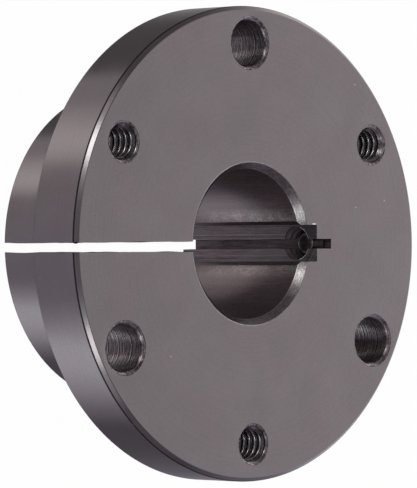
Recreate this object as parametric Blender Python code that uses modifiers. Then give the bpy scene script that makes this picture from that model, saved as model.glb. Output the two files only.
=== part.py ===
# Quick disconnect bushing: a flanged, split, tapered bushing that clamps a hub to a keyed shaft.
# Units are metres, +Z up. The bushing stands on the small end of its taper, which is at Z = 0,
# and its axis is the Z axis. The keyway is on +X and the split on -X.

import math

import bmesh
import bpy

INCH = 0.0254

# Flange
flange_diameter = 3.1875 * INCH
flange_thickness = 0.4375 * INCH
edge_chamfer = 0.0007

# Tapered barrel: the diameter falls by 3/4 inch for each foot of length
overall_length = 1.3125 * INCH
taper_large_diameter = 2.1875 * INCH
taper_ratio = 0.75 / 12
barrel_chamfer = 0.0006

# Shaft bore and its mouths
bore_diameter = 1.0 * INCH
bore_front_chamfer = 0.0012
bore_back_chamfer = 0.0008

# Keyway, and the saw cut in its floor that lets the bushing close
keyway_width = 0.25 * INCH
keyway_depth = 0.125 * INCH
keyway_edge_chamfer = 0.0006
relief_width = 0.0017
relief_offset = -0.0001
relief_depth = 0.0035

# Split through the wall, sawn a little off the centre line
split_width = 0.0017
split_offset = -0.0004

# Clearance holes and tapped jack holes share one bolt circle and alternate round it
bolt_circle_to_rim = 0.25 * INCH
holes_of_each_kind = 3
clearance_diameter = 0.3125 * INCH
clearance_mouth_chamfer = 0.0004
clearance_start_angle = math.radians(90)
tap_drill_diameter = 0.0051
tapped_mouth_chamfer = 0.0010
tapped_start_angle = math.radians(30)

# Set screw over the keyway: a quarter-inch thread of 20 turns an inch. Screw and holes are plain
# here, the holes as drilled before tapping and the screw a clearance smaller.
thread_pitch = INCH / 20
thread_clearance = 0.0003
set_screw_below_face = 0.0048
set_screw_length = 0.375 * INCH
set_screw_end_chamfer = 0.0004
set_screw_setback = 1.5 * thread_pitch
socket_across_flats = 0.125 * INCH
socket_depth = 0.0032
cup_diameter = 0.0032
cup_depth = 0.0008

# Facets round each kind of circle, how far a cutter runs past what it cuts, and the angle between
# two faces from which their edge shows as a sharp one
body_segments = 144
hole_segments = 32
cut_margin = 0.002
sharp_angle = math.radians(25)

bore_radius = bore_diameter / 2
flange_radius = flange_diameter / 2
flange_back_z = overall_length - flange_thickness
taper_large_radius = taper_large_diameter / 2
taper_small_radius = taper_large_radius - flange_back_z * taper_ratio / 2
keyway_floor_x = bore_radius + keyway_depth
relief_floor_x = keyway_floor_x + relief_depth
bolt_circle_radius = flange_radius - bolt_circle_to_rim
set_screw_radius = tap_drill_diameter / 2 - thread_clearance
set_screw_z = overall_length - set_screw_below_face
set_screw_tip_x = keyway_floor_x + set_screw_setback


def clear_scene():
    for old in list(bpy.data.objects):
        bpy.data.objects.remove(old)


def new_collection(name):
    made = bpy.data.collections.new(name)
    bpy.context.scene.collection.children.link(made)
    return made


def steel(name, colour, roughness):
    """A dark oxide finish on steel."""
    material = bpy.data.materials.new(name)
    material.use_nodes = True
    shader = material.node_tree.nodes["Principled BSDF"]
    shader.inputs["Base Color"].default_value = (*colour, 1.0)
    shader.inputs["Metallic"].default_value = 1.0
    shader.inputs["Roughness"].default_value = roughness
    return material


def object_of(mesh, name, collection):
    made = bpy.data.objects.new(name, mesh)
    collection.objects.link(made)
    return made


def turned(name, profile, collection, segments, closed_ring=False):
    """A shape turned about Z from a profile of (radius, z) points that runs from top to bottom.
    A profile that starts and ends on the axis makes a solid; a closed ring has a hole."""
    mesh = bpy.data.meshes.new(name)
    bm = bmesh.new()
    points = [bm.verts.new((radius, 0.0, z)) for radius, z in profile]
    for upper, lower in zip(points, points[1:]):
        bm.edges.new((upper, lower))
    if closed_ring:
        bm.edges.new((points[-1], points[0]))
    bm.to_mesh(mesh)
    bm.free()
    made = object_of(mesh, name, collection)
    screw = made.modifiers.new("turn", "SCREW")
    screw.axis = "Z"
    screw.steps = segments
    screw.render_steps = segments
    screw.use_merge_vertices = True
    screw.merge_threshold = 0.00001
    screw.use_smooth_shade = True
    return made


def as_cutter(obj):
    obj.hide_render = True
    obj.display_type = "WIRE"
    return obj


def box_cutter(name, low, high, collection):
    """A box between two corners."""
    mesh = bpy.data.meshes.new(name)
    bm = bmesh.new()
    bmesh.ops.create_cube(bm, size=1.0)
    size = [b - a for a, b in zip(low, high)]
    bmesh.ops.scale(bm, vec=size, verts=bm.verts)
    bm.to_mesh(mesh)
    bm.free()
    made = object_of(mesh, name, collection)
    made.location = [(a + b) / 2 for a, b in zip(low, high)]
    return as_cutter(made)


def prism_cutter(name, outline, bottom, top, collection):
    """An outline of (x, y) points raised from one height to another."""
    mesh = bpy.data.meshes.new(name)
    bm = bmesh.new()
    face = bm.faces.new([bm.verts.new((x, y, bottom)) for x, y in outline])
    raised = bmesh.ops.extrude_face_region(bm, geom=[face])
    points = [item for item in raised["geom"] if isinstance(item, bmesh.types.BMVert)]
    bmesh.ops.translate(bm, vec=(0.0, 0.0, top - bottom), verts=points)
    bmesh.ops.recalc_face_normals(bm, faces=bm.faces)
    bm.to_mesh(mesh)
    bm.free()
    return as_cutter(object_of(mesh, name, collection))


def drill_cutter(name, diameter, bottom, top, top_chamfer, bottom_chamfer, collection):
    """A drill along Z through a plate from bottom to top, with a 45 degree countersink at each end
    whose chamfer isn't zero."""
    radius = diameter / 2
    profile = [(0.0, top + cut_margin)]
    if top_chamfer:
        profile.append((radius + top_chamfer + cut_margin, top + cut_margin))
        profile.append((radius, top - top_chamfer))
    else:
        profile.append((radius, top + cut_margin))
    if bottom_chamfer:
        profile.append((radius, bottom + bottom_chamfer))
        profile.append((radius + bottom_chamfer + cut_margin, bottom - cut_margin))
    else:
        profile.append((radius, bottom - cut_margin))
    profile.append((0.0, bottom - cut_margin))
    return as_cutter(turned(name, profile, collection, hole_segments))


def cut(target, cutter):
    boolean = target.modifiers.new(cutter.name, "BOOLEAN")
    boolean.operation = "DIFFERENCE"
    boolean.solver = "EXACT"
    boolean.object = cutter


def finish(obj, material):
    """Turns the modelled shape into a plain mesh, so that its sharp edges can be marked for shading."""
    graph = bpy.context.evaluated_depsgraph_get()
    mesh = bpy.data.meshes.new_from_object(obj.evaluated_get(graph))
    mesh.shade_smooth()
    mesh.set_sharp_from_angle(angle=sharp_angle)
    mesh.materials.clear()
    mesh.materials.append(material)
    obj.modifiers.clear()
    obj.data = mesh


def make_blank(collection):
    """The turned flange and tapered barrel, already bored."""
    profile = [
        (bore_radius + bore_front_chamfer, overall_length),
        (flange_radius - edge_chamfer, overall_length),
        (flange_radius, overall_length - edge_chamfer),
        (flange_radius, flange_back_z + edge_chamfer),
        (flange_radius - edge_chamfer, flange_back_z),
        (taper_large_radius, flange_back_z),
        (taper_small_radius, barrel_chamfer),
        (taper_small_radius - barrel_chamfer, 0.0),
        (bore_radius + bore_back_chamfer, 0.0),
        (bore_radius, bore_back_chamfer),
        (bore_radius, overall_length - bore_front_chamfer),
    ]
    return turned("bushing", profile, collection, body_segments, closed_ring=True)


def cut_keyway(body, cutters):
    half = keyway_width / 2
    # the keyway's two edges in the bore are broken at 45 degrees
    edge_y = half + keyway_edge_chamfer
    shoulder_x = math.sqrt(bore_radius**2 - edge_y**2) + keyway_edge_chamfer
    flare = keyway_edge_chamfer + cut_margin / 2
    side = [(0.0, half + flare), (shoulder_x - flare, half + flare)]
    side += [(shoulder_x, half), (keyway_floor_x, half)]
    outline = side + [(x, -y) for x, y in reversed(side)]
    cut(body, prism_cutter("keyway_cutter", outline, -cut_margin, overall_length + cut_margin, cutters))
    half = relief_width / 2
    low = (bore_radius, relief_offset - half, -cut_margin)
    high = (relief_floor_x, relief_offset + half, overall_length + cut_margin)
    cut(body, box_cutter("relief_cutter", low, high, cutters))


def cut_split(body, cutters):
    low = (-flange_radius - cut_margin, split_offset - split_width / 2, -cut_margin)
    high = (-bore_radius / 2, split_offset + split_width / 2, overall_length + cut_margin)
    cut(body, box_cutter("split_cutter", low, high, cutters))


def drill_flange(body, cutters, name, diameter, chamfer, start_angle):
    """Holes through the flange, countersunk on both faces and evenly spaced on the bolt circle."""
    for index in range(holes_of_each_kind):
        angle = start_angle + index * math.tau / holes_of_each_kind
        label = f"{name}_{index + 1}"
        drill = drill_cutter(label, diameter, flange_back_z, overall_length, chamfer, chamfer, cutters)
        drill.location = (
            bolt_circle_radius * math.cos(angle),
            bolt_circle_radius * math.sin(angle),
            0.0,
        )
        cut(body, drill)


def drill_set_screw_hole(body, cutters):
    """From the rim, where it is countersunk, through to the keyway."""
    drill = drill_cutter(
        "set_screw_drill", tap_drill_diameter, bore_radius, flange_radius, tapped_mouth_chamfer, 0.0, cutters
    )
    drill.location = (0.0, 0.0, set_screw_z)
    drill.rotation_euler = (0.0, math.radians(90), 0.0)
    cut(body, drill)


def make_set_screw(collection, cutters):
    """A headless screw lying along X, with a cup point towards the bore and a hexagon socket outside.
    It is turned along Z, tip down, and then laid over."""
    cup = cup_diameter / 2
    tip_slope = set_screw_radius - cup
    profile = [
        (0.0, set_screw_length),
        (set_screw_radius - set_screw_end_chamfer, set_screw_length),
        (set_screw_radius, set_screw_length - set_screw_end_chamfer),
        (set_screw_radius, tip_slope),
        (cup, 0.0),
        (0.0, cup_depth),
    ]
    screw = turned("set_screw", profile, collection, hole_segments)
    mesh = bpy.data.meshes.new("socket_cutter")
    bm = bmesh.new()
    across_corners = socket_across_flats / math.cos(math.pi / 6)
    bmesh.ops.create_cone(
        bm,
        cap_ends=True,
        segments=6,
        radius1=across_corners / 2,
        radius2=across_corners / 2,
        depth=socket_depth + cut_margin,
    )
    bm.to_mesh(mesh)
    bm.free()
    socket = as_cutter(object_of(mesh, "socket_cutter", cutters))
    middle = set_screw_length + (cut_margin - socket_depth) / 2
    socket.location = (0.0, 0.0, middle)
    socket.parent = screw
    cut(screw, socket)
    return screw


def main():
    clear_scene()
    parts = new_collection("quick_disconnect_bushing")
    cutters = new_collection("cutters")
    body = make_blank(parts)
    cut_keyway(body, cutters)
    cut_split(body, cutters)
    drill_flange(
        body, cutters, "clearance_drill", clearance_diameter, clearance_mouth_chamfer, clearance_start_angle
    )
    drill_flange(body, cutters, "tap_drill", tap_drill_diameter, tapped_mouth_chamfer, tapped_start_angle)
    drill_set_screw_hole(body, cutters)
    finish(body, steel("black_oxide_steel", (0.18, 0.165, 0.17), 0.38))
    screw = make_set_screw(parts, cutters)
    finish(screw, steel("set_screw_steel", (0.05, 0.05, 0.055), 0.35))
    screw.location = (set_screw_tip_x, 0.0, set_screw_z)
    screw.rotation_euler = (0.0, math.radians(90), 0.0)


main()
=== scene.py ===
import math

import bpy
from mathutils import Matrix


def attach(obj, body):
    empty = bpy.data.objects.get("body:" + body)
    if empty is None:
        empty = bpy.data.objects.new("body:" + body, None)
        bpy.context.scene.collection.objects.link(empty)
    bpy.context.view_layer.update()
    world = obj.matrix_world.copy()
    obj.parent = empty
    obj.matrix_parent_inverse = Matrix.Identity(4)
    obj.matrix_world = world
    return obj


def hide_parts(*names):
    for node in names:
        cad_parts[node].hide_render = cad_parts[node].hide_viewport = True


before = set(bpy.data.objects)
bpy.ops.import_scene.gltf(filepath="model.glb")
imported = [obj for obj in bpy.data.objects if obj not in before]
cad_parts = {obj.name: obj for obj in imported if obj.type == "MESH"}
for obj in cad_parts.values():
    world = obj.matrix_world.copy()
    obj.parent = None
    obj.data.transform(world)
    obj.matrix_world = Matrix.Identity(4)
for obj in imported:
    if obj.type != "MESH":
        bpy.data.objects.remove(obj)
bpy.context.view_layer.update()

inch = 0.0254
mm = 0.001

# The machined body: first its standard sizes, then what shows of its making
bushing = {
    "flangeRadius": 3.1875 * inch / 2,
    "flangeThickness": 0.4375 * inch,
    "length": 1.3125 * inch,
    "taperLargeRadius": 2.1875 * inch / 2,
    "taperPerSide": 0.75 / 12 / 2,
    "boreRadius": 0.5 * inch,
    "keywayWidth": 0.25 * inch,
    "keywayDepth": 0.125 * inch,
    "boltCircle": 1.34375 * inch,      # its radius

    "splitWidth": 1.7 * mm,
    "splitOffset": -0.4 * mm,
    "reliefWidth": 1.7 * mm,           # the saw cut in the keyway's floor
    "reliefOffset": -0.1 * mm,
    "reliefDepth": 3.5 * mm,
    "reliefRise": 0.45 * mm,
    "sawWander": 0.16 * mm,
    "keywayEdgeChamfer": 0.6 * mm,
    "rimChamfer": 0.7 * mm,
    "barrelChamfer": 0.6 * mm,
    "boreFrontChamfer": 1.2 * mm,
    "boreBackChamfer": 0.8 * mm,
    "rimRound": 0.34 * mm,
    "edgeRound": 0.10 * mm,
    "mouthRound": 0.06 * mm,
    "sides": 288,
}

# Plain and tapped holes through the flange, and the mouth of the set screw's hole in the keyway
holes = {
    "clearanceRadius": 0.15625 * inch,
    "clearanceChamfer": 0.5 * mm,
    "clearanceStart": 90,              # degrees round to the first of three
    "tappedStart": 30,
    "tapDrillRadius": 2.55 * mm,
    "threadRadius": 3.175 * mm,
    "threadLifts": (0.45 * mm, 0.38 * mm, -0.45 * mm),      # where each jack hole's thread starts
    "crestRound": 0.13 * mm,
    "tappedChamfer": 0.93 * mm,
    "keywayMouthChamfer": 0.25 * mm,
    "keywayMouthLip": 0.11 * mm,
    "mouthFlare": 0.25 * mm,           # the shallow lip round a countersink
    "lipSlope": 2.4,                   # how much wider than deep a lip is
    "over": 1.5 * mm,                  # how far the tools reach past the faces
    "slack": 0.05 * mm,                # the countersink's shank inside the tapped hole
    "sides": 64,
}

# The headless screw over the keyway, a quarter inch in diameter with 20 threads to the inch
setScrew = {
    "pitch": inch / 20,
    "crestRadius": 3.10 * mm,
    "rootRadius": 2.45 * mm,
    "rootRound": 0.02 * mm,
    "belowFace": 4.8 * mm,
    "length": 0.375 * inch,
    "setback": 1.5 * inch / 20,        # how far the point stops short of the keyway's floor
    "endChamfer": 0.6 * mm,
    "acrossFlats": 0.125 * inch,
    "socketDepth": 3.2 * mm,
    "socketCone": 0.8 * mm,
    "cupRadius": 1.6 * mm,
    "cupDepth": 0.8 * mm,
    "ringWidth": 0.12 * mm,
    "ringRound": 0.13 * mm,
    "sides": 64,
}
topZ = bushing["length"]
flangeBackZ = topZ - bushing["flangeThickness"]
keywayFloorX = bushing["boreRadius"] + bushing["keywayDepth"]
mergeWithin = 0.002 * mm
cutWithin = 0.0001 * mm
onIt = 0.01 * mm                       # this close is on the same line or face


def pickOnly(*pieces):
    bpy.ops.object.select_all(action="DESELECT")
    for piece in pieces:
        piece.select_set(True)
    bpy.context.view_layer.objects.active = pieces[0]


def settle(piece):
    # puts the piece's place, turn and size in its mesh
    pickOnly(piece)
    bpy.ops.object.transform_apply(location=True, rotation=True, scale=True)


def editAll(mode="VERT"):
    bpy.ops.object.mode_set(mode="EDIT")
    bpy.ops.mesh.select_mode(type=mode)
    bpy.ops.mesh.select_all(action="SELECT")


def pickSharpEdges(piece, wanted):
    # selects the sharp edges whose middle the test wants, and stays in edit mode
    pickOnly(piece)
    editAll("EDGE")
    bpy.ops.mesh.select_all(action="DESELECT")
    bpy.ops.mesh.edges_select_sharp(sharpness=math.radians(20))
    bpy.ops.object.mode_set(mode="OBJECT")
    mesh = piece.data
    for edge in mesh.edges:
        middle = (mesh.vertices[edge.vertices[0]].co + mesh.vertices[edge.vertices[1]].co) / 2
        edge.select = edge.select and wanted(middle)
    for vertex in mesh.vertices:
        vertex.select = False
    for face in mesh.polygons:
        face.select = False
    bpy.ops.object.mode_set(mode="EDIT")


def pickFaces(piece, wanted):
    # selects the faces that the test wants, and stays in edit mode
    pickOnly(piece)
    editAll("FACE")
    bpy.ops.mesh.select_all(action="DESELECT")
    bpy.ops.object.mode_set(mode="OBJECT")
    for face in piece.data.polygons:
        face.select = wanted(face)
    bpy.ops.object.mode_set(mode="EDIT")


def turnOutline(name, outline, sides, solid):
    # a ring is added at the outline's first point and extruded from each point to the next; a solid
    # has a face at both ends, and any other outline closes on itself
    bpy.ops.object.select_all(action="DESELECT")
    radius, height = outline[0]
    fill = "NGON" if solid else "NOTHING"
    bpy.ops.mesh.primitive_circle_add(
        vertices=sides, radius=radius, fill_type=fill, location=(0, 0, height)
    )
    piece = bpy.context.object
    piece.name = name
    settle(piece)
    editAll()
    for nextRadius, nextHeight in outline[1:]:
        bpy.ops.mesh.extrude_region_move(TRANSFORM_OT_translate={"value": (0, 0, nextHeight - height)})
        growth = nextRadius / radius
        bpy.ops.transform.resize(value=(growth, growth, 1), center_override=(0, 0, 0))
        radius, height = nextRadius, nextHeight
    bpy.ops.mesh.select_all(action="SELECT")
    bpy.ops.mesh.remove_doubles(threshold=mergeWithin)
    bpy.ops.mesh.normals_make_consistent(inside=False)
    bpy.ops.object.mode_set(mode="OBJECT")
    return piece


def boolean(piece, tool, operation):
    # the cut faces take the tool's finish
    pickOnly(piece)
    modifier = piece.modifiers.new(operation.lower(), "BOOLEAN")
    modifier.operation = operation
    modifier.solver = "EXACT"
    modifier.material_mode = "TRANSFER"
    modifier.object = tool
    bpy.ops.object.modifier_apply(modifier=modifier.name)
    bpy.data.objects.remove(tool)


def aroundBoltCircle(tool, startDegrees, lifts=(0, 0, 0)):
    # the tool stands on the axis: it goes out to the bolt circle and is copied twice, and each one may
    # be lifted
    tool.location.x = bushing["boltCircle"]
    settle(tool)
    tools = [tool]
    for index in (1, 2):
        pickOnly(tool)
        bpy.ops.object.duplicate()
        tools.append(bpy.context.object)
    for index, (each, lift) in enumerate(zip(tools, lifts)):
        each.rotation_euler.z = math.radians(startDegrees + 120 * index)
        each.location.z = lift
        settle(each)
    pickOnly(*tools)
    bpy.ops.object.join()
    return bpy.context.object


thread = {
    "flankDegrees": 30,
    "crestFlat": 0.6,                      # share of what the flanks leave of a turn
    "cornerDegrees": (0, 20, 40, 60),      # steps of the rounding from the core to the flank
}


def threadedRod(name, core, crest, low, high, coreRound):
    # one turn's section is drawn by extruding a point, turned up into a helix and cut off square; the
    # core's corners are rounded, because they make the crests of a tapped hole
    pitch = setScrew["pitch"]
    flank = math.tan(math.radians(thread["flankDegrees"]))
    slope = flank * (crest - core)
    crestFlat = thread["crestFlat"] * (pitch - 2 * slope)
    corner = crestFlat / 2 + slope
    start = corner + coreRound * flank
    arc = []
    for degrees in thread["cornerDegrees"]:
        turn = math.radians(degrees)
        arc.append((core + coreRound * (1 - math.cos(turn)), start - coreRound * math.sin(turn)))
    section = [(core, -pitch / 2)] + [(radius, -height) for radius, height in arc]
    section += [(crest, -crestFlat / 2), (crest, crestFlat / 2)] + arc[::-1] + [(core, pitch / 2)]
    startZ = pitch * (math.floor(low / pitch) - 1)
    bpy.ops.object.select_all(action="DESELECT")
    bpy.ops.mesh.primitive_plane_add(size=mm)
    rod = bpy.context.object
    rod.name = name
    editAll()
    bpy.ops.mesh.merge(type="CENTER")
    bpy.ops.transform.translate(value=(section[0][0], 0, startZ + section[0][1]))
    for here, there in zip(section, section[1:]):
        step = (there[0] - here[0], 0, there[1] - here[1])
        bpy.ops.mesh.extrude_vertices_move(TRANSFORM_OT_translate={"value": step})
    bpy.ops.object.mode_set(mode="OBJECT")
    helix = rod.modifiers.new("helix", "SCREW")
    helix.axis = "Z"
    helix.screw_offset = pitch
    helix.iterations = math.ceil((high - low) / pitch) + 3
    helix.steps = setScrew["sides"]
    helix.render_steps = setScrew["sides"]
    helix.use_merge_vertices = False
    bpy.ops.object.modifier_apply(modifier=helix.name)
    editAll()
    bpy.ops.mesh.remove_doubles(threshold=mergeWithin)
    trim = {"plane_no": (0, 0, 1), "use_fill": True, "threshold": cutWithin}
    bpy.ops.mesh.bisect(plane_co=(0, 0, high), clear_outer=True, **trim)
    bpy.ops.mesh.select_all(action="SELECT")
    bpy.ops.mesh.bisect(plane_co=(0, 0, low), clear_inner=True, **trim)
    bpy.ops.mesh.select_all(action="SELECT")
    bpy.ops.mesh.normals_make_consistent(inside=False)
    bpy.ops.object.mode_set(mode="OBJECT")
    return rod


def slotCutter(name, low, high, loops, wander):
    # a box with loops across its length, whose sides wander as a saw or a worn broach does
    size = [b - a for a, b in zip(low, high)]
    middle = [(a + b) / 2 for a, b in zip(low, high)]
    bpy.ops.object.select_all(action="DESELECT")
    bpy.ops.mesh.primitive_cube_add(size=1, location=middle, scale=size)
    cutter = bpy.context.object
    cutter.name = name
    settle(cutter)
    editAll()
    for axis, count in loops.items():
        for index in range(1, count):
            bpy.ops.mesh.select_all(action="SELECT")
            plane = [0, 0, 0]
            plane[axis] = 1
            point = [0, 0, 0]
            point[axis] = low[axis] + size[axis] * index / count
            bpy.ops.mesh.bisect(plane_co=point, plane_no=plane, threshold=cutWithin)
    bpy.ops.object.mode_set(mode="OBJECT")
    if wander:
        texture = bpy.data.textures.new(name, "CLOUDS")
        texture.noise_scale = 5 * mm
        texture.noise_depth = 1
        waves = cutter.modifiers.new("wander", "DISPLACE")
        waves.texture = texture
        waves.texture_coords = "LOCAL"
        waves.direction = "Y"
        waves.mid_level = 0.5
        waves.strength = 2 * wander
        bpy.ops.object.modifier_apply(modifier=waves.name)
    return cutter


def addNode(tree, kind, inputs=None, **settings):
    made = tree.nodes.new(kind)
    for key, value in settings.items():
        setattr(made, key, value)
    for key, value in (inputs or {}).items():
        if isinstance(value, bpy.types.NodeSocket):
            tree.links.new(value, made.inputs[key])
        else:
            made.inputs[key].default_value = value
    return made


def calculate(tree, operation, first, second=0.0, third=0.0, clamp=False):
    inputs = {0: first, 1: second, 2: third}
    return addNode(tree, "ShaderNodeMath", inputs, operation=operation, use_clamp=clamp).outputs[0]


def blendColours(tree, factor, first, second, mode="MIX"):
    inputs = {0: factor, 6: first, 7: second}
    return addNode(tree, "ShaderNodeMix", inputs, data_type="RGBA", blend_type=mode).outputs[2]


def noise(tree, place, size, detail=2.0, roughness=0.5):
    inputs = {"Vector": place, "Scale": 1 / size, "Detail": detail, "Roughness": roughness}
    return addNode(tree, "ShaderNodeTexNoise", inputs).outputs["Fac"]


# Each finish, from dark to light. lines says which way the tool's marks change, by radius, x, y and z,
# and streaks how long the short marks are along x, y and z. The shares say how much each one shows, and
# specks which share of the cells has none.
oxideLooks = {
    "turnedOxide": {
        "dark": (0.150, 0.126, 0.137), "light": (0.220, 0.196, 0.201), "roughness": 0.18, "metallic": 0.95,
        "lines": (1, 0, 0, 1), "lineSize": 0.30 * mm, "lineShare": 0.12, "lineDepth": 0.0000008,
        "streaks": (7 * mm, 7 * mm, 7 * mm), "streakShare": 0.12, "specks": 0.997,
    },
    # painted shade: nearly black, for the dark line along the rim's rounded front corner and the burr at the
    # split
    "rimEdgePaintedShade": {
        "dark": (0.018, 0.016, 0.018), "light": (0.040, 0.035, 0.040), "roughness": 0.32, "metallic": 0.9,
        "lines": (1, 0, 0, 1), "lineSize": 0.30 * mm, "lineShare": 0.2, "lineDepth": 0.0000008,
        "streaks": (1 * mm, 1 * mm, 1 * mm), "streakShare": 0.5, "specks": 0.96,
    },
    # worn edges painted lighter, partly wear and partly painted highlight
    "wornEdgeHighlightOxide": {
        "dark": (0.190, 0.170, 0.176), "light": (0.380, 0.355, 0.355), "roughness": 0.26, "metallic": 0.95,
        "lines": (1, 0, 0, 1), "lineSize": 0.30 * mm, "lineShare": 0.2, "lineDepth": 0.0000008,
        "streaks": (1 * mm, 1 * mm, 1 * mm), "streakShare": 0.6, "specks": 1.1,
    },
    # its marks beside the keyway are partly rubbing and partly painted highlight
    "boredOxide": {
        "dark": (0.096, 0.069, 0.078), "light": (0.172, 0.134, 0.142), "roughness": 0.29, "metallic": 0.68,
        "lines": (0, 1, 0, 0), "lineSize": 0.5 * mm, "lineShare": 0.2, "lineDepth": 0.0000012,
        "streaks": (0.4 * mm, 0.4 * mm, 3 * mm), "streakShare": 0.25, "specks": 0.997,
        "rubbedHighlight": (4.3 * mm, 1.9 * mm), "rubbedHighlightFrom": (7 * mm, 18 * mm), "rubbedHighlightTo": (0.38, 0.325, 0.322),
    },
    # its lighter marks beside the keyway are partly rubbing and partly painted highlight
    "mouthOxide": {
        "dark": (0.080, 0.063, 0.069), "light": (0.200, 0.171, 0.178), "roughness": 0.26, "metallic": 0.86,
        "lines": (1, 0, 0, 0), "lineSize": 0.16 * mm, "lineShare": 0.5, "lineDepth": 0.000004,
        "streaks": (0.8 * mm, 0.8 * mm, 0.25 * mm), "streakShare": 0.6, "specks": 0.99,
        "rubbedHighlight": (4.3 * mm, 3.6 * mm), "rubbedHighlightFrom": (0, 1 * mm), "rubbedHighlightTo": (0.30, 0.275, 0.278),
    },
    "sunkOxide": {
        "dark": (0.030, 0.022, 0.026), "light": (0.340, 0.290, 0.306), "roughness": 0.17, "metallic": 0.95,
        "lines": (0, 0, 0, 1), "lineSize": 0.16 * mm, "lineShare": 0.8, "lineDepth": 0.000009,
        "streaks": (0.6 * mm, 0.6 * mm, 0.25 * mm), "streakShare": 0.7, "specks": 0.96,
    },
    # the screw's ring, rubbed and painted nearly white as a painted highlight
    "rubbedRingHighlightSteel": {
        "dark": (0.060, 0.054, 0.058), "light": (0.380, 0.365, 0.365), "roughness": 0.36, "metallic": 0.30,
        "lines": (0, 0, 1, 0), "lineSize": 0.3 * mm, "lineShare": 0.2, "lineDepth": 0.000002,
        "streaks": (0.5 * mm, 0.5 * mm, 0.5 * mm), "streakShare": 0.9, "specks": 1.1,
        "rubbedHighlight": (0, 1.0 * mm), "rubbedHighlightFrom": (0, 1 * mm), "rubbedHighlightTo": (0.98, 0.96, 0.95),
    },
    # painted glint: near white, for the nick at the keyway's corner
    "nickGlintSteel": {
        "dark": (0.850, 0.830, 0.820), "light": (0.980, 0.970, 0.960), "roughness": 0.45, "metallic": 0.60,
        "lines": (0, 1, 0, 0), "lineSize": 0.2 * mm, "lineShare": 0.2, "lineDepth": 0.000002,
        "streaks": (0.5 * mm, 0.5 * mm, 0.5 * mm), "streakShare": 0.3, "specks": 1.1,
    },
    # thread crests and lips painted bright, partly burnished steel and partly painted highlight
    "crestHighlightSteel": {
        "dark": (0.300, 0.272, 0.280), "light": (0.900, 0.860, 0.860), "roughness": 0.20, "metallic": 0.90,
        "lines": (0, 0, 0, 1), "lineSize": 0.3 * mm, "lineShare": 0.2, "lineDepth": 0.000002,
        "streaks": (0.5 * mm, 0.5 * mm, 0.5 * mm), "streakShare": 0.7, "specks": 1.1,
    },
    "broachedOxide": {
        "dark": (0.080, 0.061, 0.066), "light": (0.226, 0.190, 0.194), "roughness": 0.30, "metallic": 0.72,
        "lines": (0, 1, 1, 0), "lineSize": 0.24 * mm, "lineShare": 0.7, "lineDepth": 0.000008,
        "streaks": (0.25 * mm, 0.25 * mm, 4 * mm), "streakShare": 0.5, "specks": 0.99,
        "scoredFrom": 28.5 * mm,
    },
    "sawnOxide": {
        "dark": (0.012, 0.008, 0.009), "light": (0.205, 0.155, 0.166), "roughness": 0.42, "metallic": 0.5,
        "lines": (0, 1, 0, 0), "lineSize": 0.35 * mm, "lineShare": 0.6, "lineDepth": 0.000012,
        "streaks": (0.3 * mm, 0.3 * mm, 5 * mm), "streakShare": 0.7, "specks": 0.975,
    },
    "drilledOxide": {
        "dark": (0.040, 0.031, 0.036), "light": (0.300, 0.260, 0.270), "roughness": 0.25, "metallic": 0.82,
        "lines": (0, 0, 0, 1), "lineSize": 0.34 * mm, "lineShare": 1.0, "lineDepth": 0.000026,
        "streaks": (1.6 * mm, 1.6 * mm, 0.25 * mm), "streakShare": 0.6, "specks": 0.985,
    },
    # the tapped holes' threads, painted much darker than the face as painted shade in the grooves
    "threadShadeOxide": {
        "dark": (0.012, 0.009, 0.010), "light": (0.130, 0.105, 0.114), "roughness": 0.22, "metallic": 0.8,
        "lines": (0, 0, 0, 1), "lineSize": 0.3 * mm, "lineShare": 0.6, "lineDepth": 0.000010,
        "streaks": (0.5 * mm, 0.5 * mm, 0.4 * mm), "streakShare": 0.8, "specks": 0.97,
    },
    "keywayThreadOxide": {
        "dark": (0.075, 0.060, 0.068), "light": (0.155, 0.128, 0.139), "roughness": 0.45, "metallic": 0.35,
        "lines": (0, 1, 0, 0), "lineSize": 0.4 * mm, "lineShare": 0.4, "lineDepth": 0.000008,
        "streaks": (0.6 * mm, 0.6 * mm, 0.6 * mm), "streakShare": 0.7, "specks": 0.99,
    },
    "screwOxide": {
        "dark": (0.040, 0.032, 0.035), "light": (0.120, 0.102, 0.107), "roughness": 0.34, "metallic": 0.70,
        "lines": (0, 1, 0, 0), "lineSize": 0.4 * mm, "lineShare": 0.3, "lineDepth": 0.000002,
        "streaks": (0.8 * mm, 0.8 * mm, 0.8 * mm), "streakShare": 0.4, "specks": 1.1,
    },
}


# What all the finishes share
oxide = {
    "cloudSize": 9 * mm, "cloudShare": 0.15, "cloudRoughness": 0.012,
    "grainSize": 0.35 * mm, "grainShare": 0.6, "grainDepth": 0.0000012,
    "streakRoughness": 0.04, "roughnessDrop": 0.031,
    "tintSize": 6 * mm, "plum": (1.015, 0.99, 1.005, 1), "olive": (0.99, 1.008, 0.993, 1),
    "speckSpacing": 0.8 * mm, "speckRadius": 0.17, "speckColour": (0.36, 0.345, 0.34, 1),
}

# Rubbed marks beside the keyway, partly real rubbing and partly painted highlight, are flecks in broken
# patches
rubHighlights = {"fleckSize": 0.4 * mm, "patchSize": 2.5 * mm, "fleckShare": 0.9, "evenShare": 0.38}

# Scores on the wall of the keyway's mouth, which is darker than the rest
scores = {
    "spacing": 0.2 * mm, "slant": -1.3, "wander": 0.8 * mm, "colour": (0.42, 0.41, 0.36, 1),
    "mouthLength": 2 * mm, "mouthShare": 0.6, "mouthColour": (0.070, 0.045, 0.056, 1),
    "wallFrom": -0.5 * mm, "wallTo": -1.3 * mm,
}


def stretch(tree, value, low, high):
    # spreads what lies between low and high over the whole way from 0 to 1
    inputs = {"Value": value, "From Min": low, "From Max": high}
    return addNode(tree, "ShaderNodeMapRange", inputs, clamp=True).outputs["Result"]


def lineNoise(tree, along, spacing, **more):
    # noise that changes along one direction only
    inputs = {"W": along, "Scale": 1 / spacing, **more}
    return addNode(tree, "ShaderNodeTexNoise", inputs, noise_dimensions="1D").outputs["Fac"]


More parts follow.
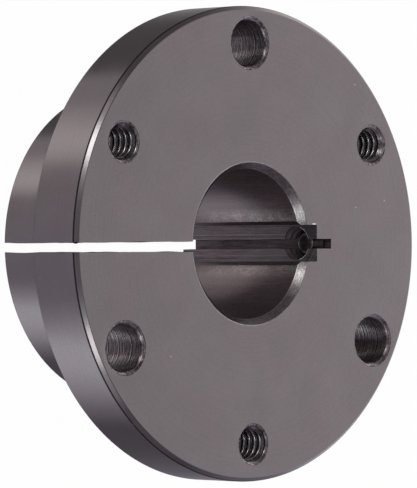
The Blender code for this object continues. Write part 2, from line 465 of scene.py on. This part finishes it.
def rubbedHighlight(tree, look, place, split, colour):
    # short bright marks on the keyway's side, partly rubbing and partly painted highlight, as far aside as
    # the look says
    middle, spread = look["rubbedHighlight"]
    aside = calculate(tree, "ABSOLUTE", split.outputs[1])
    aside = calculate(tree, "ABSOLUTE", calculate(tree, "SUBTRACT", aside, middle))
    beside = stretch(tree, aside, spread, 0)
    front = calculate(tree, "GREATER_THAN", split.outputs[0], 0)
    front = calculate(tree, "MULTIPLY", front, stretch(tree, split.outputs[2], *look["rubbedHighlightFrom"]))
    flecks = stretch(tree, noise(tree, place, rubHighlights["fleckSize"], 2.0, 0.6), 0.42, 0.6)
    patches = stretch(tree, noise(tree, place, rubHighlights["patchSize"], 2.0), 0.35, 0.6)
    marks = calculate(tree, "MULTIPLY", flecks, patches)
    marks = calculate(tree, "MULTIPLY_ADD", marks, rubHighlights["fleckShare"], rubHighlights["evenShare"])
    rubHighlight = calculate(tree, "MULTIPLY", calculate(tree, "MULTIPLY", beside, front), marks)
    return blendColours(tree, rubHighlight, colour, (*look["rubbedHighlightTo"], 1))


def scored(tree, look, place, split, colour):
    # the keyway is darker at its mouth, with slanting scores on one wall
    wander = calculate(tree, "MULTIPLY", noise(tree, place, scores["wander"], 1.0), scores["wander"])
    slant = calculate(tree, "MULTIPLY_ADD", split.outputs[2], scores["slant"], split.outputs[1])
    slant = calculate(tree, "ADD", slant, wander)
    cuts = stretch(tree, lineNoise(tree, slant, scores["spacing"], Detail=2.0), 0.56, 0.70)
    mouth = stretch(
        tree, split.outputs[2], look["scoredFrom"], look["scoredFrom"] + scores["mouthLength"]
    )
    darker = calculate(tree, "MULTIPLY", mouth, scores["mouthShare"])
    colour = blendColours(tree, darker, colour, scores["mouthColour"])
    wall = stretch(tree, split.outputs[1], scores["wallFrom"], scores["wallTo"])
    cuts = calculate(tree, "MULTIPLY", cuts, calculate(tree, "MULTIPLY", mouth, wall))
    return blendColours(tree, cuts, colour, scores["colour"])


def speckled(tree, look, place, colour):
    # a few tiny bright specks, where the oxide has come off
    cells = addNode(tree, "ShaderNodeTexVoronoi", {"Vector": place, "Scale": 1 / oxide["speckSpacing"]})
    chosen = addNode(tree, "ShaderNodeSeparateXYZ", {0: cells.outputs["Color"]}).outputs[0]
    chosen = calculate(tree, "GREATER_THAN", chosen, look["specks"])
    near = calculate(tree, "LESS_THAN", cells.outputs["Distance"], oxide["speckRadius"])
    speck = calculate(tree, "MULTIPLY", chosen, near)
    return blendColours(tree, speck, colour, oxide["speckColour"])


def oxideSteel(name):
    look = oxideLooks[name]
    material = bpy.data.materials.new(name)
    material.use_nodes = True
    tree = material.node_tree
    shader = tree.nodes["Principled BSDF"]
    shader.inputs["Metallic"].default_value = look["metallic"]
    place = addNode(tree, "ShaderNodeTexCoord").outputs["Object"]
    split = addNode(tree, "ShaderNodeSeparateXYZ", {0: place})
    flat = addNode(tree, "ShaderNodeCombineXYZ", {0: split.outputs[0], 1: split.outputs[1]}).outputs[0]
    radius = addNode(tree, "ShaderNodeVectorMath", {0: flat}, operation="LENGTH").outputs["Value"]
    along = addNode(
        tree, "ShaderNodeVectorMath", {0: place, 1: look["lines"][1:]}, operation="DOT_PRODUCT"
    ).outputs["Value"]
    across = calculate(tree, "MULTIPLY_ADD", radius, look["lines"][0], along)
    lines = stretch(tree, lineNoise(tree, across, look["lineSize"], Detail=3.0, Roughness=0.6), 0.36, 0.64)
    inverse = [1 / size for size in look["streaks"]]
    drawn = addNode(tree, "ShaderNodeMapping", {"Vector": place, "Scale": inverse}).outputs["Vector"]
    streaks = stretch(tree, noise(tree, drawn, 1, 3.0, 0.6), 0.34, 0.66)
    clouds = stretch(tree, noise(tree, place, oxide["cloudSize"], 3.0), 0.3, 0.7)
    grain = noise(tree, place, oxide["grainSize"], 2.0, 0.7)

    # shade: the slow clouding and the grain, with the tool's lines and the short marks over them, all
    # round the middle between dark and light
    shares = oxide["cloudShare"] + oxide["grainShare"] + look["lineShare"] + look["streakShare"]
    shade = calculate(tree, "MULTIPLY_ADD", clouds, oxide["cloudShare"], 0.5 - shares / 2)
    shade = calculate(tree, "MULTIPLY_ADD", grain, oxide["grainShare"], shade)
    shade = calculate(tree, "MULTIPLY_ADD", lines, look["lineShare"], shade)
    shade = calculate(tree, "MULTIPLY_ADD", streaks, look["streakShare"], shade, clamp=True)
    colour = blendColours(tree, shade, (*look["dark"], 1), (*look["light"], 1))
    # the oxide turns a little from plum to olive
    patches = stretch(tree, noise(tree, place, oxide["tintSize"], 2.0), 0.3, 0.7)
    tint = blendColours(tree, patches, oxide["plum"], oxide["olive"])
    colour = blendColours(tree, 1.0, colour, tint, "MULTIPLY")
    if "rubbedHighlight" in look:
        colour = rubbedHighlight(tree, look, place, split, colour)
    if "scoredFrom" in look:
        colour = scored(tree, look, place, split, colour)
    colour = speckled(tree, look, place, colour)
    tree.links.new(colour, shader.inputs["Base Color"])

    # the clouds and the short marks are a little rougher
    base = look["roughness"] - oxide["roughnessDrop"]
    rough = calculate(tree, "MULTIPLY_ADD", clouds, oxide["cloudRoughness"], base)
    rough = calculate(tree, "MULTIPLY_ADD", streaks, oxide["streakRoughness"], rough)
    tree.links.new(rough, shader.inputs["Roughness"])

    height = calculate(tree, "MULTIPLY", lines, look["lineDepth"])
    height = calculate(tree, "MULTIPLY_ADD", streaks, look["lineDepth"] / 2, height)
    height = calculate(tree, "MULTIPLY_ADD", grain, oxide["grainDepth"], height)
    bump = addNode(tree, "ShaderNodeBump", {"Height": height, "Distance": 1.0, "Strength": 1.0})
    tree.links.new(bump.outputs["Normal"], shader.inputs["Normal"])
    return material


finishes = {name: oxideSteel(name) for name in oxideLooks}


def dress(piece, finish):
    piece.data.materials.clear()
    piece.data.materials.append(finishes[finish])


def addFinish(piece, finish):
    piece.data.materials.append(finishes[finish])
    return len(piece.data.materials) - 1


def paintFaces(piece, finish, wanted):
    # a further finish for the faces that the test wants
    index = addFinish(piece, finish)
    for face in piece.data.polygons:
        if wanted(face):
            face.material_index = index


def bevelSharpEdges(piece, wanted, offset, segments, **more):
    pickSharpEdges(piece, wanted)
    bpy.ops.mesh.bevel(offset=offset, segments=segments, profile=0.5, **more)
    bpy.ops.object.mode_set(mode="OBJECT")


def makeBushingBody():
    size = bushing
    rim, bore, top, back = size["flangeRadius"], size["boreRadius"], topZ, flangeBackZ
    small = size["taperLargeRadius"] - back * size["taperPerSide"]
    front = size["boreFrontChamfer"]
    rimCornerR = rim - size["rimChamfer"]
    rimCornerZ = top - size["rimChamfer"]
    outline = [
        (bore + front, top),
        (rimCornerR, top),
        (rim, rimCornerZ),
        (rim, back + size["rimChamfer"]),
        (rimCornerR, back),
        (size["taperLargeRadius"], back),
        (small, size["barrelChamfer"]),
        (small - size["barrelChamfer"], 0),
        (bore + size["boreBackChamfer"], 0),
        (bore, size["boreBackChamfer"]),
        (bore, top - front),
        (bore + front, top),
    ]
    near = 0.1 * mm

    def inBore(face):
        return face.center.xy.length < bore + near

    def inBoreMouth(face):
        across = face.center.xy.length - bore - front / 2
        return abs(face.center.z - top + front / 2) < near and abs(across) < near

    def onRimCorner(at):
        return abs(at.z - rimCornerZ) < onIt and at.xy.length > rim - near

    def onBoreMouth(at):
        return at.z > top - onIt and at.xy.length < rim / 2

    def elsewhere(at):
        below = at.z < rimCornerZ - near
        return below or at.z > rimCornerZ + 4 * near and at.xy.length > rimCornerR - onIt

    body = turnOutline("bushingBody", outline, size["sides"], False)
    dress(body, "turnedOxide")
    paintFaces(body, "boredOxide", inBore)
    rimShadeFinish = addFinish(body, "rimEdgePaintedShade")
    wornEdgeHighlightFinish = addFinish(body, "wornEdgeHighlightOxide")
    paintFaces(body, "mouthOxide", inBoreMouth)
    # every turned corner is broken a little, the rim's front one more; that one is painted nearly black, a
    # painted shade line along the rim's edge
    bevelSharpEdges(body, onRimCorner, size["rimRound"] / 2, 5, material=rimShadeFinish)
    # the bore mouth's broken edge is worn and painted lighter, partly wear and partly painted highlight
    bevelSharpEdges(body, onBoreMouth, size["edgeRound"], 3, material=wornEdgeHighlightFinish)
    bevelSharpEdges(body, elsewhere, size["edgeRound"], 3)
    print("body turned", len(body.data.polygons))
    return body


def cutKeyway(body):
    # the cutter opens out at 45 degrees where it breaks into the bore
    over = 2 * mm
    half = bushing["keywayWidth"] / 2
    chamfer = bushing["keywayEdgeChamfer"]
    shoulderX = math.sqrt(bushing["boreRadius"] ** 2 - (half + chamfer) ** 2) + chamfer
    low, high = (shoulderX, -half, -over), (keywayFloorX, half, topZ + over)
    keyway = slotCutter("keyway", low, high, {}, 0)
    flare = chamfer + mm
    pickFaces(keyway, lambda face: face.normal.x < -0.9)
    bpy.ops.mesh.extrude_region_move(TRANSFORM_OT_translate={"value": (-flare, 0, 0)})
    bpy.ops.transform.resize(value=(1, 1 + flare / half, 1), center_override=(0, 0, 0))
    bpy.ops.mesh.extrude_region_move(TRANSFORM_OT_translate={"value": (-2 * over, 0, 0)})
    bpy.ops.object.mode_set(mode="OBJECT")
    dress(keyway, "broachedOxide")
    boolean(body, keyway, "DIFFERENCE")
    print("keyway cut", len(body.data.polygons))


def sawSlots(body):
    # the relief in the keyway's floor, which rises a little towards the small end, and the split
    size = bushing
    over = 2 * mm
    half = size["reliefWidth"] / 2
    low = (size["boreRadius"], size["reliefOffset"] - half, -over)
    high = (keywayFloorX + size["reliefDepth"], size["reliefOffset"] + half, topZ + over)
    relief = slotCutter("relief", low, high, {0: 4, 2: 24}, 0.6 * size["sawWander"])
    for corner in relief.data.vertices:
        if corner.co.x > high[0] - 0.5 * mm:
            corner.co.x -= size["reliefRise"] * (1 - max(0, corner.co.z) / topZ)
    dress(relief, "sawnOxide")
    boolean(body, relief, "DIFFERENCE")
    half = size["splitWidth"] / 2
    low = (-size["flangeRadius"] - over, size["splitOffset"] - half, -over)
    high = (-size["boreRadius"] / 2, size["splitOffset"] + half, topZ + over)
    saw = slotCutter("split", low, high, {0: 24, 2: 24}, size["sawWander"])
    dress(saw, "sawnOxide")
    boolean(body, saw, "DIFFERENCE")
    # the lips of the slots on the flange's face are worn and painted lighter, partly wear and partly painted
    # highlight
    face = topZ - 0.002 * mm
    lipWearAndHighlight = body.data.materials.find("wornEdgeHighlightOxide")
    bevelSharpEdges(
        body, lambda at: at.z > face, size["mouthRound"], 2, clamp_overlap=False, material=lipWearAndHighlight
    )
    print("relief and split sawn", len(body.data.polygons))


# a nick at the keyway's corner, a real dent painted near white as a painted glint, and a burr at the split in
# the rim edge's painted-shade finish
nicks = {
    "paintedGlintNick": {
        "middle": (15.27 * mm, 3.31 * mm, 33.36 * mm), "halves": (0.55 * mm, 0.12 * mm, 0.10 * mm),
        "finish": "nickGlintSteel", "operation": "DIFFERENCE",
    },
    "burr": {
        "middle": (-39.95 * mm, 0.45 * mm, 32.70 * mm), "halves": (0.42 * mm, 0.20 * mm, 0.48 * mm),
        "finish": "rimEdgePaintedShade", "operation": "UNION",
    },
}


def addNicks(body):
    for name, size in nicks.items():
        bpy.ops.object.select_all(action="DESELECT")
        bpy.ops.mesh.primitive_ico_sphere_add(
            subdivisions=3, radius=1, location=size["middle"], scale=size["halves"]
        )
        tool = bpy.context.object
        settle(tool)
        dress(tool, size["finish"])
        boolean(body, tool, size["operation"])
        print(name, "made", len(body.data.polygons))


def countersunkEnd(radius, face, chamfer, way):
    # the countersink's corner at the hole, its corner near the face, and a shallow lip past the face
    over = holes["over"]
    lip = holes["mouthFlare"] / holes["lipSlope"]
    return [
        (radius, face - way * chamfer),
        (radius + chamfer - lip, face - way * lip),
        (radius + chamfer + holes["mouthFlare"] + over, face + way * over / holes["lipSlope"]),
    ]


def throughTool(name, radius, chamfer, finish):
    # a drill through the flange, with a countersink at each face
    outline = countersunkEnd(radius, flangeBackZ, chamfer, -1)[::-1]
    outline += countersunkEnd(radius, topZ, chamfer, 1)
    tool = turnOutline(name, outline, holes["sides"], True)
    dress(tool, finish)
    return tool


def isSunk(face):
    # on a countersink, neither level nor upright
    return 0.1 < abs(face.normal.z) < 0.99


def isCrest(face):
    # on the rounded corners of a tap's core, which cut the thread's crests
    across = face.center.xy.length
    return across < holes["tapDrillRadius"] + 0.6 * holes["crestRound"] and abs(face.normal.z) < 0.95


def makeTap(name, low, high, finish):
    size = holes
    tap = threadedRod(
        name, size["tapDrillRadius"], size["threadRadius"], low - size["over"], high + size["over"],
        size["crestRound"],
    )
    dress(tap, finish)
    return tap


def drillClearanceHoles(body):
    size = holes
    drill = throughTool(
        "clearanceDrill", size["clearanceRadius"], size["clearanceChamfer"], "drilledOxide"
    )
    paintFaces(drill, "sunkOxide", isSunk)
    boolean(body, aroundBoltCircle(drill, size["clearanceStart"]), "DIFFERENCE")
    print("clearance holes drilled", len(body.data.polygons))


def tapJackHoles(body):
    size = holes
    # the thread is painted dark as painted shade in the tapped holes
    tap = makeTap("tap", flangeBackZ, topZ, "threadShadeOxide")
    # the tap's rounded core corners make the crests, painted bright: partly burnished steel and partly
    # painted highlight
    paintFaces(tap, "crestHighlightSteel", isCrest)
    boolean(body, aroundBoltCircle(tap, size["tappedStart"], size["threadLifts"]), "DIFFERENCE")
    radius = size["tapDrillRadius"] - size["slack"]
    sink = throughTool("countersink", radius, size["tappedChamfer"], "sunkOxide")
    boolean(body, aroundBoltCircle(sink, size["tappedStart"]), "DIFFERENCE")
    print("jack holes tapped", len(body.data.polygons))


def layOver(tool):
    # from standing on the keyway's floor plane to lying along +X over the keyway
    tool.rotation_euler.y = math.radians(90)
    tool.location = (keywayFloorX, 0, topZ - setScrew["belowFace"])
    settle(tool)
    return tool


def drillSetScrewHole(body):
    reach = bushing["flangeRadius"] - keywayFloorX
    boolean(body, layOver(makeTap("setScrewTap", 0, reach, "keywayThreadOxide")), "DIFFERENCE")
    # at the keyway the countersink ends in a narrow lip, then a straight shank clear of the side walls
    radius = holes["tapDrillRadius"] - holes["slack"]
    chamfer, lip = holes["keywayMouthChamfer"], holes["keywayMouthLip"]
    lipDepth = lip / holes["lipSlope"]
    outline = [
        (radius + chamfer + lip, -holes["over"]),
        (radius + chamfer + lip, 0),
        (radius + chamfer, lipDepth),
        (radius, chamfer + lipDepth),
    ]
    outline += countersunkEnd(radius, reach, holes["tappedChamfer"], 1)
    sink = turnOutline("setScrewSink", outline, holes["sides"], True)
    dress(sink, "sunkOxide")
    # the narrow lip is painted bright as a painted highlight round the hole's mouth
    paintFaces(sink, "crestHighlightSteel", lambda face: 0 < face.center.z < lipDepth)
    boolean(body, layOver(sink), "DIFFERENCE")
    print("set screw hole tapped", len(body.data.polygons))


def makeSetScrew():
    size = setScrew
    tip = size["setback"]
    end = tip + size["length"]
    spare = 0.3 * mm
    screw = threadedRod(
        "setScrewBody", size["rootRadius"], size["crestRadius"], tip - spare, end + spare,
        size["rootRound"],
    )
    dress(screw, "screwOxide")
    # the envelope gives the screw its cup, its ring and the chamfers of its two ends
    clear = 0.1 * mm
    outer = size["crestRadius"] + clear
    ring = size["cupRadius"] + size["ringWidth"]
    outline = [
        (clear / 2, tip + size["cupDepth"]),
        (size["cupRadius"], tip),
        (ring, tip),
        (outer, tip + outer - ring),
        (outer, end - size["endChamfer"] - clear),
        (outer - size["endChamfer"] - clear, end),
    ]
    envelope = turnOutline("screwEnvelope", outline, size["sides"], True)
    dress(envelope, "screwOxide")
    # the ring is rubbed, and painted bright as a painted highlight
    bright = addFinish(envelope, "rubbedRingHighlightSteel")
    bevelSharpEdges(envelope, lambda at: abs(at.z - tip) < onIt, size["ringRound"], 2, material=bright)
    boolean(screw, envelope, "INTERSECT")

    bpy.ops.object.select_all(action="DESELECT")
    corners = size["acrossFlats"] / 2 / math.cos(math.pi / 6)
    depth = size["socketDepth"] + mm
    bpy.ops.mesh.primitive_cylinder_add(
        vertices=6, radius=corners, depth=depth, location=(0, 0, end + mm - depth / 2)
    )
    socket = bpy.context.object
    settle(socket)
    # the drill's cone at the bottom of the socket
    pickFaces(socket, lambda face: face.normal.z < -0.9)
    bpy.ops.mesh.extrude_region_move(TRANSFORM_OT_translate={"value": (0, 0, -size["socketCone"])})
    bpy.ops.transform.resize(value=(0.06, 0.06, 1), center_override=(0, 0, 0))
    bpy.ops.object.mode_set(mode="OBJECT")
    dress(socket, "screwOxide")
    boolean(screw, socket, "DIFFERENCE")
    layOver(screw)
    print("set screw made", len(screw.data.polygons))
    return screw


def smooth(piece, degrees):
    # the last cleaning of the mesh, and soft shading across the edges below the angle
    pickOnly(piece)
    editAll()
    bpy.ops.mesh.remove_doubles(threshold=mergeWithin)
    bpy.ops.mesh.delete_loose()
    bpy.ops.mesh.select_all(action="SELECT")
    bpy.ops.mesh.normals_make_consistent(inside=False)
    bpy.ops.object.mode_set(mode="OBJECT")
    bpy.ops.object.shade_smooth_by_angle(angle=math.radians(degrees))
    weighted = piece.modifiers.new("weighted", "WEIGHTED_NORMAL")
    weighted.mode = "FACE_AREA_WITH_ANGLE"
    weighted.keep_sharp = True
    bpy.ops.object.modifier_apply(modifier=weighted.name)


body = makeBushingBody()
cutKeyway(body)
sawSlots(body)
addNicks(body)
drillClearanceHoles(body)
drillSetScrewHole(body)
tapJackHoles(body)
smooth(body, 30)
screw = makeSetScrew()
smooth(screw, 30)

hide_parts("bushing")
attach(body, "bushing")
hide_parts("set_screw")
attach(screw, "set_screw")

# Light: a tent round the object, brighter and darker by direction, and two soft boxes. Directions are
# degrees round from -X, positive towards +Y, and the levels are of white, in three rings one over the
# other. Heights are sines of the elevation.
tent = {
    "below": [
        (-180, 0.45), (-165, 0.26), (-148, 0.20), (-136, 0.21), (-124, 0.18), (-98, 0.19), (-93, 0.42),
        (-87, 0.50), (-75, 1.08), (-62, 1.5), (-50, 1.58), (-42, 1.1), (-36, 0.80), (-27, 0.52), (0, 0.60),
        (28, 0.60), (38, 0.64), (44, 1.25), (52, 1.52), (64, 1.14), (76, 0.63), (90, 0.66), (95, 0.20),
        (110, 0.17), (136, 0.135), (148, 0.20), (160, 0.27), (180, 0.45),
    ],
    "level": [
        (-180, 1.0), (-170, 1.3), (-160, 1.6), (-150, 0.90), (-140, 0.46), (-128, 0.46), (-118, 0.32),
        (-108, 0.18), (-85, 0.34), (-60, 0.50), (60, 0.50), (85, 0.26), (108, 0.19), (118, 0.28),
        (128, 0.40), (136, 0.85), (145, 1.45), (152, 1.55), (165, 1.2), (180, 1.0),
    ],
    "above": [
        (-180, 1.5), (-150, 1.2), (-125, 0.6), (-105, 0.32), (-78, 0.24), (-66, 0.95), (-56, 1.0), (-38, 1.3),
        (-30, 1.05), (-20, 0.50), (20, 0.48), (30, 1.0), (38, 1.35), (56, 1.4), (66, 1.05), (78, 0.18),
        (105, 0.28), (125, 0.6), (150, 1.2), (180, 1.5),
    ],
    "belowToLevel": (-0.62, -0.12),
    "levelToAbove": (0.20, 0.52),
    "eavesFromTo": (0.574, 0.819),
    "eaves": 0.41,
    "roofFromTo": (0.86, 0.94),
    "roof": 0.55,
    "patchFromTo": (-0.95, -0.85),       # straight below it is a dark patch
    "patch": 0.25,
    "bright": 1.5,
    "coolTints": ((0.98, 0.90, 1.07), (0.945, 1.0, 1.045)),      # where it is dark, where it is bright
    "warmTints": ((1.0, 0.945, 0.985), (1.0, 0.98, 0.95)),
    "tintedWithin": 170,
}
softBoxes = {
    "directions": (-46, 46),
    "powers": (0.48, 0.70),
    "colours": ((0.94, 1.0, 0.95), (0.90, 1.0, 0.97)),
    "height": 38,
    "distance": 0.9,
    "size": 0.20,
}


def addTent():
    world = bpy.data.worlds.new("lightTent")
    bpy.context.scene.world = world
    world.use_nodes = True
    tree = world.node_tree
    direction = addNode(tree, "ShaderNodeTexCoord").outputs["Generated"]
    split = addNode(tree, "ShaderNodeSeparateXYZ", {0: direction})
    x, y, z = split.outputs
    back = calculate(tree, "MULTIPLY", x, -1.0)
    angle = calculate(tree, "ARCTAN2", y, back)
    turn = calculate(tree, "MULTIPLY_ADD", angle, 1 / math.tau, 0.5)

    def ring(levels):
        ramp = addNode(tree, "ShaderNodeValToRGB", {0: turn})
        stops = ramp.color_ramp.elements
        while len(stops) > 1:
            stops.remove(stops[-1])
        for index, (degrees, level) in enumerate(levels):
            stop = stops[0] if index == 0 else stops.new(degrees / 360 + 0.5)
            stop.position = degrees / 360 + 0.5
            dim, bright = tent["warmTints"] if degrees > 0 else tent["coolTints"]
            share = min(1, level / tent["bright"])
            if abs(degrees) > tent["tintedWithin"]:
                dim = bright = (1, 1, 1)
            tint = [a + (b - a) * share for a, b in zip(dim, bright)]
            # a ramp's colours end at 1, so they are halved here and the strength is 2
            stop.color = [level / 2 * part for part in tint] + [1]
        return ramp.outputs["Color"]

    def rise(heights, start=0.0, end=1.0, way="SMOOTHSTEP"):
        # from one value to another between two heights
        inputs = {"Value": z, "From Min": heights[0], "From Max": heights[1], "To Min": start, "To Max": end}
        return addNode(tree, "ShaderNodeMapRange", inputs, interpolation_type=way).outputs["Result"]

    below, level, above = [ring(tent[name]) for name in ("below", "level", "above")]
    sides = blendColours(tree, rise(tent["belowToLevel"]), below, level)
    sides = blendColours(tree, rise(tent["levelToAbove"]), sides, above)
    # darker towards the eaves, with an even roof over them
    dimming = rise(tent["eavesFromTo"], 1.0, tent["eaves"], "LINEAR")
    sides = blendColours(tree, 1.0, sides, dimming, "MULTIPLY")
    roof = tent["roof"] / 2
    sides = blendColours(tree, rise(tent["roofFromTo"]), sides, (roof, roof, roof, 1))
    strength = rise(tent["patchFromTo"], 2 * tent["patch"], 2.0)
    background = tree.nodes["Background"]
    tree.links.new(sides, background.inputs["Color"])
    tree.links.new(strength, background.inputs["Strength"])


def addSoftBoxes():
    away = softBoxes["distance"]
    rise = math.radians(softBoxes["height"])
    for degrees, power, colour in zip(softBoxes["directions"], softBoxes["powers"], softBoxes["colours"]):
        turn = math.radians(degrees)
        place = (
            -away * math.cos(rise) * math.cos(turn),
            away * math.cos(rise) * math.sin(turn),
            away * math.sin(rise) + topZ,
        )
        facing = (math.radians(90) - rise, 0, math.atan2(place[1], place[0]) + math.radians(90))
        bpy.ops.object.light_add(type="AREA", location=place, rotation=facing)
        lamp = bpy.context.object.data
        lamp.shape = "SQUARE"
        lamp.size = softBoxes["size"]
        lamp.energy = power
        lamp.color = colour


floor = {"size": 40, "below": 0.05 * mm, "glow": 0.98, "colour": 0.95}


def addFloor():
    bpy.ops.object.select_all(action="DESELECT")
    bpy.ops.mesh.primitive_plane_add(size=floor["size"], location=(0, 0, -floor["below"]))
    plane = bpy.context.object
    plane.name = "floor"
    material = bpy.data.materials.new("paleFloor")
    material.use_nodes = True
    tree = material.node_tree
    tree.nodes.remove(tree.nodes["Principled BSDF"])
    grey = floor["colour"]
    diffuse = addNode(tree, "ShaderNodeBsdfDiffuse", {"Color": (grey, grey, grey, 1)}).outputs[0]
    glow = addNode(tree, "ShaderNodeEmission", {"Color": (1, 1, 1, 1), "Strength": 1.0}).outputs[0]
    mix = addNode(tree, "ShaderNodeMixShader", {0: floor["glow"], 1: diffuse, 2: glow}).outputs[0]
    tree.links.new(mix, tree.nodes["Material Output"].inputs["Surface"])
    plane.data.materials.append(material)
    # the steel reflects the tent, not the floor
    plane.visible_glossy = False


camera = {
    "place": (-0.526218, 0.000540, 0.564627),
    "turnDegrees": (0.42117, -44.16107, -0.66266),
    "lens": 324.23,
    "sensor": 36,
    "nearest": 0.02,
    "farthest": 60,
}


def addCamera():
    turn = [math.radians(each) for each in camera["turnDegrees"]]
    bpy.ops.object.camera_add(location=camera["place"], rotation=turn)
    made = bpy.context.object
    made.data.lens = camera["lens"]
    made.data.sensor_width = camera["sensor"]
    made.data.clip_start = camera["nearest"]
    made.data.clip_end = camera["farthest"]
    bpy.context.scene.camera = made


addTent()
addSoftBoxes()
addFloor()
addCamera()
bpy.context.scene.view_settings.view_transform = "Standard"
print("light, floor and camera set")
